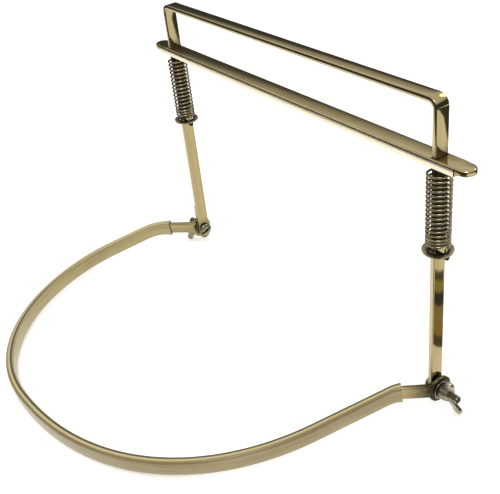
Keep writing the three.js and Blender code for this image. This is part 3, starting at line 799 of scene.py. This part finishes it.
def slotted_screw(label, side, material):
    bm = open_mesh()
    start = LEG_INNER - FIT
    tip = NUT_OUT + SCREW_PROUD
    dome = arc((0, 0), 1, 0, 90, 8)
    profile = [(start - HEAD_RIM - (HEAD_HEIGHT - HEAD_RIM) * up, HEAD_RADIUS * (0.35 + 0.65 * across))
               for across, up in reversed(dome)]
    profile = [(start - HEAD_HEIGHT, 0)] + profile
    profile += [(start - HEAD_EDGE, HEAD_RADIUS), (start, HEAD_RADIUS - HEAD_EDGE)]
    profile += [(start, SCREW_RADIUS), (NUT_OUT - 1, SCREW_RADIUS)]
    thread = NUT_OUT - THREAD_HIDDEN
    while thread < tip - THREAD_END:
        profile += [(thread, SCREW_RADIUS), (thread + THREAD_VALLEY, SCREW_RADIUS - THREAD_DEPTH),
                    (thread + THREAD_GROOVE, SCREW_RADIUS)]
        thread += THREAD_PITCH
    profile += [(tip - TIP_CHAMFER, SCREW_RADIUS), (tip, SCREW_RADIUS - TIP_CHAMFER), (tip, 0)]
    lathe(bm, profile, SCREW_SIDES)
    floor = start - HEAD_HEIGHT + SLOT_DEPTH
    for place, across in (((0, -SLOT_HALF_WIDTH, 0), (0, 1, 0)), ((0, SLOT_HALF_WIDTH, 0), (0, 1, 0)),
                          ((floor, 0, 0), (1, 0, 0))):
        head = [f for f in bm.faces if f.calc_center_median().x < start - 0.01]
        edges = list({e for f in head for e in f.edges})
        verts = list({v for f in head for v in f.verts})
        bmesh.ops.bisect_plane(bm, geom=head + edges + verts, plane_co=place, plane_no=across)
    cut = [f for f in bm.faces if f.calc_center_median().x < floor
           and abs(f.calc_center_median().y) < SLOT_HALF_WIDTH]
    made = bmesh.ops.extrude_face_region(bm, geom=cut)["geom"]
    bmesh.ops.delete(bm, geom=cut, context="FACES")
    # The slot's new floor is given full painted shade
    slot_shade = bm.verts.layers.float["grime"]
    for vert in verts_in(made):
        vert.co.x = floor
        vert[slot_shade] = 1.0
    slot_edge = SLOT_HALF_WIDTH + 0.05
    valley = SCREW_RADIUS - 0.2
    # Painted shade where the head meets the leg
    mark(bm, "grime", lambda co: 0.6 * near(co.x, start, 0.5))
    # Painted shade down the walls of the slot
    mark(bm, "grime", lambda co: 0.85 if co.x < start - HEAD_RIM and abs(co.y) < slot_edge else 0.0)
    # Painted shade in the thread valleys and on the end beyond the nut, and a faint film of soiling
    # everywhere else
    mark(bm, "grime", lambda co: 0.75 if co.x > NUT_IN and math.hypot(co.y, co.z) < valley else 0.06)
    return finish("slotted_screw_" + label, bm, material, "frame", ["pivot_screw_" + label],
                  turn=outward(side, SLOT_TURN[label]), smooth_angle=45)


def hinge_washers(label, side, dark, bright):
    bm = ring(FRICTION_IN, WASHER_RADIUS, SCREW_BORE, FRICTION_THICKNESS, FRICTION_EDGE)
    finish("fibre_washer_" + label, bm, dark, "neck", ["friction_washer_" + label],
           turn=outward(side))
    bm = ring(OUTER_IN, WASHER_RADIUS, SCREW_BORE, OUTER_THICKNESS, OUTER_EDGE)
    finish("bright_washer_" + label, bm, bright, "neck", ["outer_washer_" + label],
           turn=outward(side))


def wing(bm):
    """One wing, flared outwards to a round tip, thick at its root"""
    tip = (NUT_IN + WING_RISE - WING_TIP, WING_REACH - WING_TIP)
    outline = [(NUT_IN + WING_ROOT_INSET, WING_ROOT)]
    outline += arc(tip, WING_TIP, 195, -20, 16)
    outline += [(NUT_OUT - WING_ROOT_INSET, WING_ROOT)]
    face = bm.faces.new([bm.verts.new((x, -WING_THICKNESS / 2, radius)) for x, radius in outline])
    far_side = verts_in(bmesh.ops.extrude_face_region(bm, geom=[face])["geom"])
    bmesh.ops.translate(bm, vec=(0, WING_THICKNESS, 0), verts=far_side)
    return list(face.verts) + far_side


def cast_nut(label, side, material, body):
    bm = open_mesh()
    hub = [(NUT_IN, 0), (NUT_IN, HUB_RADIUS), (NUT_OUT, HUB_TOP_RADIUS), (NUT_OUT, 0)]
    lathe(bm, hub, HUB_SIDES)
    for turn in (0.0, math.pi):
        verts = wing(bm)
        bmesh.ops.transform(bm, matrix=Matrix.Rotation(turn, 4, "X"), verts=verts)
    bmesh.ops.recalc_face_normals(bm, faces=bm.faces[:])
    casting = new_object("rough_nut", bm)
    melt = casting.modifiers.new("melt", "REMESH")
    melt.mode = "VOXEL"
    melt.voxel_size = CASTING_GRAIN
    ease = casting.modifiers.new("ease", "SMOOTH")
    ease.factor = 0.5
    ease.iterations = CASTING_PASSES
    bpy.context.view_layer.update()
    made = bpy.data.meshes.new_from_object(casting.evaluated_get(bpy.context.evaluated_depsgraph_get()))
    bpy.data.objects.remove(casting)
    bm = bmesh.new()
    bm.from_mesh(made)
    with_layers(bm)
    # Painted shade where the wings meet the hub, and where the nut sits on its washer
    mark(bm, "grime", lambda co: 0.4 * near(math.hypot(co.y, co.z), HUB_RADIUS, 2.5)
         + 0.5 * near(co.x, NUT_IN, 1.5))
    return finish("cast_wing_nut_" + label, bm, material, body, ["wing_nut_" + label],
                  turn=outward(side, WING_LEAN[label]), smooth_angle=60)


# Neck hoop

def bend(before, corner, after, length, steps):
    """Points round a corner, from `length` before it to `length` after it"""
    start = corner + (before - corner).normalized() * length
    end = corner + (after - corner).normalized() * length
    return list(interpolate_bezier(start, start.lerp(corner, 2 / 3), end.lerp(corner, 2 / 3), end, steps))


def hoop_line():
    left_span = LEFT_END.y - FRONT.y
    right_span = RIGHT_END.y - FRONT.y
    left_handle = LEFT_END - Vector((0, HANDLES["left_start"] * left_span, 0))
    front_left = FRONT + Vector((HANDLES["left_end"] * (LEFT_END.x - FRONT.x), 0, 0))
    front_right = FRONT + Vector((HANDLES["right_start"] * (RIGHT_END.x - FRONT.x), 0, 0))
    right_handle = RIGHT_END + (RIGHT_END - RIGHT_BEND).normalized() * HANDLES["right_end"] * right_span
    left_ear = Vector((-EYE_MIDDLE, -ARM_START, 0))
    right_ear = Vector((EYE_MIDDLE, -ARM_START, 0))
    overlap = Vector((0, ARM_OVERLAP, 0))
    line = [left_ear + overlap]
    line += bend(left_ear, LEFT_CORNER, LEFT_BEND, EAR_BEND, 6)
    line += bend(LEFT_CORNER, LEFT_BEND, LEFT_END, LEFT_BEND_LENGTH, 14)
    line += interpolate_bezier(LEFT_END, left_handle, front_left, FRONT, HOOP_STEPS)
    line += list(interpolate_bezier(FRONT, front_right, right_handle, RIGHT_END, HOOP_STEPS))[1:]
    line += bend(RIGHT_END, RIGHT_BEND, RIGHT_CORNER, RIGHT_BEND_LENGTH, 12)
    line += bend(RIGHT_BEND, RIGHT_CORNER, right_ear + overlap, EAR_BEND, 6)
    return line + [right_ear + overlap]


def line_beyond(line, reach):
    """The part of a line that lies more than `reach` out, with its cut ends put in"""
    kept = []
    for before, point in zip([line[0]] + line, line):
        if (before.y < -reach) != (point.y < -reach):
            kept.append(before.lerp(point, (-reach - before.y) / (point.y - before.y)))
        if point.y < -reach:
            kept.append(point)
    return kept


def hoop_turn():
    return Matrix.Rotation(HOOP_DROP, 4, "X")


def hoop_strip(material):
    bm = open_mesh()
    lift = Vector((0, 0, ARM_RISE))
    line = [point + lift for point in hoop_line()]
    face = strip_face(bm, STRIP_THICKNESS, STRIP_WIDTH, STRIP_EDGE, STRIP_EDGE_STEPS)
    sweep(bm, face, stations(line, Vector((0, 0, 1))))
    for side in (-1, 1):
        eye = ring(EYE_IN, EYE_RADIUS, SCREW_BORE, EYE_THICKNESS, EYE_EDGE, EYE_SIDES)
        bmesh.ops.transform(eye, matrix=outward(side), verts=eye.verts[:])
        web = bmesh.ops.create_cube(eye, size=1)["verts"]
        length = ARM_START / 2
        place = Matrix.Translation((side * EYE_MIDDLE, -WEB_START - length / 2, ARM_RISE))
        shape = Matrix.Diagonal((EYE_THICKNESS - 0.1, length, STRIP_WIDTH, 1))
        bmesh.ops.transform(eye, matrix=place @ shape, verts=web)
        edges = list({e for v in web for e in v.link_edges})
        bmesh.ops.bevel(eye, geom=edges, offset=0.3, segments=2, profile=0.5, affect="EDGES", material=-1)
        spare = bpy.data.meshes.new("spare_eye")
        eye.to_mesh(spare)
        eye.free()
        bm.from_mesh(spare)
        bpy.data.meshes.remove(spare)

    def eye_grime(co):
        return EYE_SHADE["right" if co.x > 0 else "left"]

    # Painted shade over each eye's face, fading out along its arm, and lighter over the bare arm up to the
    # sleeve
    face_radius = EYE_RADIUS - 0.1
    mark(bm, "grime", lambda co: eye_grime(co) if math.hypot(co.y, co.z) < face_radius else 0.0)
    mark(bm, "grime", lambda co: eye_grime(co) * near(co.y, -EYE_RADIUS, 7))
    mark(bm, "grime", lambda co: eye_grime(co) * 0.3 if co.y > -SLEEVE_START else 0.0)
    return finish("hoop_strip", bm, material, "neck", ["neck_hoop"], turn=hoop_turn())


def sleeve_tube(material):
    bm = open_mesh()
    lift = Vector((0, 0, ARM_RISE))
    line = filled([p + lift for p in line_beyond(hoop_line(), SLEEVE_START)], SLEEVE_STEP)
    placed = stations(line, Vector((0, 0, 1)))
    for i, point in enumerate(line):
        flare = max(near((point - end).length, 0, FLARE_LENGTH) for end in (line[0], line[-1])) ** 2
        placed[i] = placed[i] @ Matrix.Diagonal((1 + FLARE[0] * flare, 1 + FLARE[1] * flare, 1, 1))
    inner_thickness = STRIP_THICKNESS + 2 * FIT
    inner_width = STRIP_WIDTH + 2 * FIT
    sizes = [(inner_thickness + 2 * SLEEVE_WALL, inner_width + 2 * SLEEVE_WALL, SLEEVE_ROUND),
             (inner_thickness, inner_width, STRIP_ROUND)]
    layer = bm.verts.layers.float_vector["strip"]
    for thickness, width, rounding in sizes:
        sweep(bm, strip_face(bm, thickness, width, rounding, 5), placed)
    caps = [f for f in bm.faces if len(f.verts) > 4]
    bmesh.ops.delete(bm, geom=caps, context="FACES_ONLY")
    open_edges = [e for e in bm.edges if e.is_boundary]
    for start in (True, False):
        ends = [e for e in open_edges if (e.verts[0][layer].z < 1) == start]
        bmesh.ops.bridge_loops(bm, edges=ends)
    return finish("sleeve_tube", bm, material, "neck", ["neck_sleeve"], turn=hoop_turn())


# Floor, cards and world

def seen_directly(tree):
    """One for what the camera sees, straight, mirrored or through something clear"""
    rays = node(tree, "ShaderNodeLightPath").outputs
    seen = maths(tree, "MAXIMUM", rays["Is Camera Ray"], rays["Is Glossy Ray"])
    return maths(tree, "MAXIMUM", seen, rays["Is Transmission Ray"])


def add_floor():
    bm = bmesh.new()
    bmesh.ops.create_grid(bm, x_segments=2, y_segments=2, size=FLOOR_SIZE)
    floor = new_object("studio_floor", bm)
    floor.location = (0, 0, FLOOR_LEVEL * MM)
    material, tree, shader = new_material("studio_floor")
    shader.inputs["Base Color"].default_value = (0.86, 0.86, 0.86, 1)
    shader.inputs["Roughness"].default_value = 0.9
    glow = maths(tree, "MULTIPLY", seen_directly(tree), FLOOR_GLOW)
    tree.links.new(glow, shader.inputs["Emission Strength"])
    shader.inputs["Emission Color"].default_value = (1, 1, 1, 1)
    floor.data.materials.append(material)


def add_card(name, first, last, bands):
    """A glowing card that only shows in shiny or clear surfaces, banded from its first edge to its last"""
    bm = bmesh.new()
    layer = bm.verts.layers.float.new("along")
    rows = []
    for value, row in enumerate((first, last)):
        rows.append([bm.verts.new(HINGE + Vector(corner) * MM) for corner in row])
        for vert in rows[-1]:
            vert[layer] = value
    for i in range(len(first) - 1):
        bm.faces.new((rows[0][i], rows[0][i + 1], rows[1][i + 1], rows[1][i]))
    card = new_object(name, bm)
    card.visible_camera = False
    card.visible_diffuse = False
    card.visible_shadow = False
    material, tree, shader = new_material(name)
    tree.links.new(ramp(tree, attribute(tree, "along"), bands), shader.inputs["Emission Color"])
    shader.inputs["Emission Strength"].default_value = 1.0
    shader.inputs["Base Color"].default_value = (0.02, 0.02, 0.02, 1)
    shader.inputs["Roughness"].default_value = 0.9
    card.data.materials.append(material)


def add_world():
    """White wherever it is seen, with its own shades for dull surfaces alone"""
    world = bpy.data.worlds.new("studio")
    world.use_nodes = True
    tree = world.node_tree
    back = tree.nodes["Background"]
    direction = node(tree, "ShaderNodeTexCoord").outputs["Generated"]
    up = node(tree, "ShaderNodeSeparateXYZ", None, Vector=direction).outputs["Z"]
    shown = mixed_colors(tree, seen_directly(tree), ramp(tree, up, WORLD_BANDS), (1, 1, 1, 1))
    tree.links.new(shown, back.inputs["Color"])
    back.inputs["Strength"].default_value = 1.0
    bpy.context.scene.world = world


def add_wall():
    """A wall right round everything, dark at its foot and bright at its top"""
    around = [math.radians(5 * i) for i in range(73)]
    foot, top = [[(WALL_RADIUS * math.cos(a), WALL_RADIUS * math.sin(a), z) for a in around]
                 for z in (CARD_FOOT, WALL_TOP)]
    add_card("far_wall", foot, top, WALL_BANDS)


def add_upright_card(name, left, right, place, top):
    foot, head = [[(left, place, z), (right, place, z)] for z in (CARD_FOOT, top)]
    add_card(name, foot, head, PLAIN_DARK)


def add_low_card(name, first, last, bands):
    first, last = [[(x, y, LOW_CARD) for x, y in row] for row in (first, last)]
    add_card(name, first, last, bands)


# The scene

bpy.context.scene.view_settings.view_transform = "Standard"
add_camera()
add_world()
add_floor()
add_wall()
add_upright_card("front_card", left=-1400, right=700, place=-245, top=130)
add_low_card("corner_card", [(132, -32), (132, -235)], [(340, -32), (340, -235)], PLAIN_DARK)
add_upright_card("back_card", left=-600, right=900, place=252, top=60)
add_low_card("leg_card", [(116, 45), (152, 17)], [(166, 98), (202, 64)], LEG_BANDS)
add_lamp("key_softbox", place=(0.5, -0.35, 0.95), size=0.5, power=4.0, tint=(1.0, 0.98, 0.94))
add_lamp("fill_softbox", place=(-0.9, -0.5, 0.6), size=0.6, power=2.0, tint=(0.97, 0.98, 1.0))
add_lamp("back_softbox", place=(0.1, 1.0, 0.7), size=0.6, power=2.0, tint=(1.0, 0.98, 0.95))

STRIP_PLATE = plated("strip_plating", GOLD, GOLD_TARNISH, age=0.3, smooth=0.05, rough=0.11,
                     fineness=1100.0, stretch=(1, 1, 0.02), relief=0.12, on_strip=True)
PLATE_PLATE = plated("plate_plating", (0.46, 0.39, 0.21), GOLD_TARNISH, age=0.35, smooth=0.09, rough=0.2,
                     fineness=1100.0, stretch=(0.02, 1, 1), relief=0.25)
WIRE_PLATE = plated("wire_plating", (0.37, 0.32, 0.21), (0.13, 0.10, 0.05), age=0.5, smooth=0.06, rough=0.2,
                    fineness=1600.0, stretch=(1, 1, 0.05), relief=0.2, on_strip=True)
SCREW_PLATE = plated("screw_steel", (0.47, 0.43, 0.31), (0.10, 0.08, 0.05), age=0.5, smooth=0.16, rough=0.4,
                     fineness=1500.0, stretch=(0.3, 1, 1), relief=0.3)
NUT_PLATE = plated("nut_plating", (0.52, 0.475, 0.35), (0.14, 0.12, 0.07), age=0.5, smooth=0.16, rough=0.4,
                   fineness=900.0, stretch=(1, 1, 1), relief=0.45)
VINYL = vinyl()
FIBRE = fibre()
PIN_STEEL = plated("pin_steel", (0.05, 0.045, 0.038), (0.02, 0.017, 0.013), age=0.6, smooth=0.25, rough=0.5,
                   fineness=900.0, stretch=(1, 1, 1), relief=0.3)
SEAT_PLATE = plated("seat_plating", (0.42, 0.37, 0.25), (0.16, 0.13, 0.07), age=0.5, smooth=0.12, rough=0.3,
                    fineness=900.0, stretch=(1, 1, 1), relief=0.3)

frame_strip(STRIP_PLATE)
pressed_plate(PLATE_PLATE)
hoop_strip(STRIP_PLATE)
sleeve_tube(VINYL)
for label, side in (("left", -1), ("right", 1)):
    coil_spring(label, side, WIRE_PLATE)
    spring_seat(label, side, SEAT_PLATE)
    stop_pin(label, side, PIN_STEEL)
    slotted_screw(label, side, SCREW_PLATE)
    hinge_washers(label, side, FIBRE, SCREW_PLATE)
    cast_nut(label, side, NUT_PLATE, "nut_" + label)
